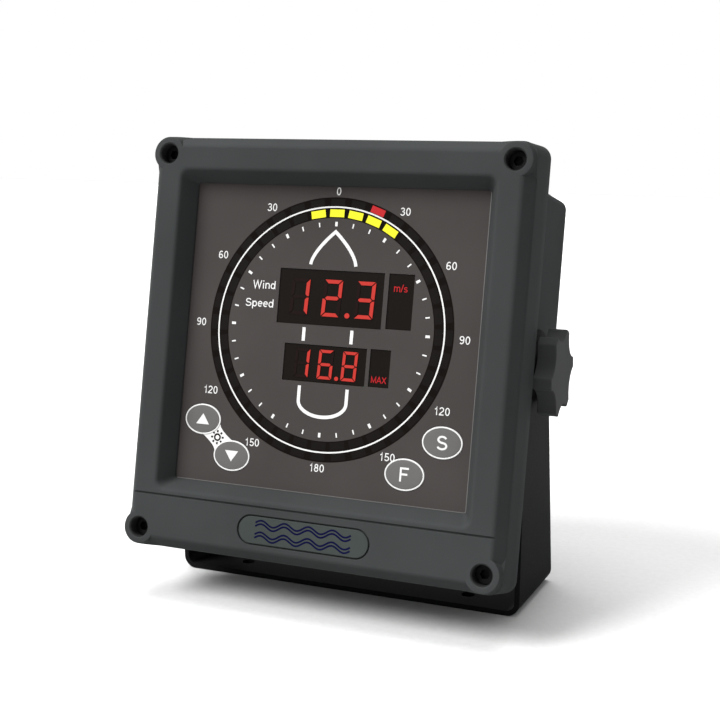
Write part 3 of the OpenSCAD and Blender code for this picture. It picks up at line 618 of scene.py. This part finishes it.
speed_lit, speed_dark = number("123", h=17.5, pitch=16.5, mid=0.7, z=25.75, dot=8.2)
max_lit, max_dark = number("168", h=13.9, pitch=12.05, mid=0.1, z=-5.1, dot=6.0)
for name, shapes, mat, node in (("speed_digits_lit", speed_lit, MAT["digit_red"], ["speed_digits"]),
                                ("max_digits_lit", max_lit, MAT["digit_red"], ["max_digits"]),
                                ("digits_unlit", speed_dark + max_dark, bar_dark, [])):
    y, thick = (FILM_Y + 0.3, 0.15) if mat is bar_dark else (FILM_Y + 0.1, 0.2)
    piece(name, on_head([plate(pts, y, thick) for pts in shapes]), "head", mat, node)
piece("unit_words", on_head(words("m/s", 34.2, 32.2, 3.4, FILM_Y + 0.3, 0.11, 0.1, 1.2)
                            + words("MAX", 27.0, -10.1, 2.9, FILM_Y + 0.3, 0.12, 0.1, 1.15)),
      "head", glow_red)

# ---------------------------------------------------------------- keys

KEYS = {"key_up": (-61.3, -35.9), "key_down": (-44.5, -51.9), "key_s": (60.0, -35.5), "key_f": (43.3, -51.5)}
KEY_A, KEY_B = 9.6, 7.3                # half the width and height of a key
KEY_BACK, SWITCH_Y, STEM_R = 10.7, 14.05, 2.0
# inset from the key's edge against depth
BORDER = [(0.0, KEY_BACK), (0.0, 10.15), (0.12, 10.0), (0.60, 9.97), (0.70, 10.05), (0.70, KEY_BACK)]
CAP = [(0.70, KEY_BACK), (0.72, 10.06), (1.15, 9.99), (3.0, 9.93), (5.0, 9.91)]


def ovals(profile, x, z):
    return [(y, ellipse(KEY_A - inset, KEY_B - inset, 96, x, z)) for inset, y in profile]


for name, (x, z) in KEYS.items():
    border = solid_of_rings(ovals(BORDER, x, z), closed=True)
    border.transform(HEAD)
    piece(name + "_border", border, name, print_white, [name])
    cap = solid_of_rings(ovals(CAP, x, z))
    cap.transform(HEAD)
    piece(name + "_cap", cap, name, MAT["key_grey"])
    stem = solid_of_rings([(y, ellipse(STEM_R, STEM_R, 32, x, z)) for y in (KEY_BACK, SWITCH_Y)])
    stem.transform(HEAD)
    piece(name + "_stem", stem, name, MAT["key_grey"])
KEY_TOP = 9.895   # plane of the signs on the keys
tri = [(-3.5, -2.2), (3.5, -2.2), (0.0, 2.9)]
ux, uz = KEYS["key_up"]
dx, dz = KEYS["key_down"]
marks = {"key_up": [plate([(x + ux, z + uz - 0.2) for x, z in tri], KEY_TOP)],
         "key_down": [plate([(x + dx, dz + 0.2 - z) for x, z in tri], KEY_TOP)],
         "key_s": words("S", *KEYS["key_s"], 6.4, KEY_TOP, 0.14, wide=1.22),
         "key_f": words("F", *KEYS["key_f"], 6.4, KEY_TOP, 0.14, wide=1.22)}
for name, made in marks.items():
    piece(name + "_mark", on_head(made), name, print_white)

# white waist between the two brightness keys, with its sun sign
axis = Vector((dx - ux, dz - uz)).normalized()
across = Vector((-axis.y, axis.x))
middle = Vector(((ux + dx) / 2, (uz + dz) / 2))
WAIST_REACH, WAIST_HALF, WAIST_STEPS = 6.2, 4.3, 24
waist = []
for s in (1, -1):
    edge = []
    for i in range(WAIST_STEPS + 1):
        t = -1 + 2 * i / WAIST_STEPS
        flare = 0.6 if s * t > 0 else 3.0
        half = WAIST_HALF + flare * abs(t) ** 2.2
        edge.append(tuple(middle + axis * (t * WAIST_REACH) + across * s * half))
    waist += edge if s > 0 else edge[::-1]
piece("key_waist", on_head([plate(waist, FILM_Y - 0.012)]), "head", print_white)
SIGN_Y, RAYS = FILM_Y - 0.04, 8
sign = [ribbon(ellipse(1.45, 1.45, 40, middle.x, middle.y), 0.85, SIGN_Y, cyclic=True)]
for k in range(RAYS):
    a = 2 * math.pi * k / RAYS
    sign.append(ribbon([(middle.x + math.cos(a) * r, middle.y + math.sin(a) * r) for r in (2.3, 3.4)], 0.9,
                       SIGN_Y))
piece("sun_sign", on_head(sign), "head", print_black)

# ---------------------------------------------------------------- CAD nodes kept, with softened edges
for name, width in (("mounting_yoke", 0.35), ("rear_housing", 0.8), ("corner_screws", 0.18),
                    ("gland_bodies", 0.3), ("gland_caps", 0.3), ("earth_nuts", 0.2), ("earth_stud", 0.2),
                    ("right_knob", 0.45), ("left_knob", 0.45),
                    ("right_knob_disc", 0.2), ("left_knob_disc", 0.2)):
    soften(name, width)

# ---------------------------------------------------------------- floor and light
floor_pale = material("floor_pale", (0.47, 0.47, 0.47), 0.8, tint=0.01, patch=2, spec=0.2, grain=300,
                      bump=0.02)
bpy.ops.mesh.primitive_plane_add(size=12, location=(0, 0, 0))
floor = bpy.context.object
floor.name = "floor"
floor.data.materials.append(floor_pale)

world = bpy.data.worlds.new("studio")
world.use_nodes = True
# white all round, dimmer towards the right
t = world.node_tree
where, split = t.nodes.new("ShaderNodeTexCoord"), t.nodes.new("ShaderNodeSeparateXYZ")
fade = t.nodes.new("ShaderNodeMapRange")
fade.inputs["From Min"].default_value = 0.1
fade.inputs["From Max"].default_value = 0.8
fade.inputs["To Min"].default_value = 1.0
fade.inputs["To Max"].default_value = 0.5
t.links.new(where.outputs["Generated"], split.inputs["Vector"])
t.links.new(split.outputs["X"], fade.inputs["Value"])
t.links.new(fade.outputs["Result"], t.nodes["Background"].inputs["Strength"])
t.nodes["Background"].inputs["Color"].default_value = (1.0, 1.0, 1.0, 1)
scene.world = world
scene.view_settings.view_transform = "Standard"


def sun_light(name, towards, strength, spread):
    """Sunlight that comes from the given side, softened over spread degrees."""
    data = bpy.data.lights.new(name, "SUN")
    data.energy = strength
    data.angle = math.radians(spread)
    ob = bpy.data.objects.new(name, data)
    scene.collection.objects.link(ob)
    ob.rotation_euler = (-Vector(towards)).to_track_quat("-Z", "Y").to_euler()


sun_light("key_light", (-0.50, -0.54, 0.68), 6.0, 30)
sun_light("top_light", (-0.1, 0.05, 1.0), 3.2, 40)
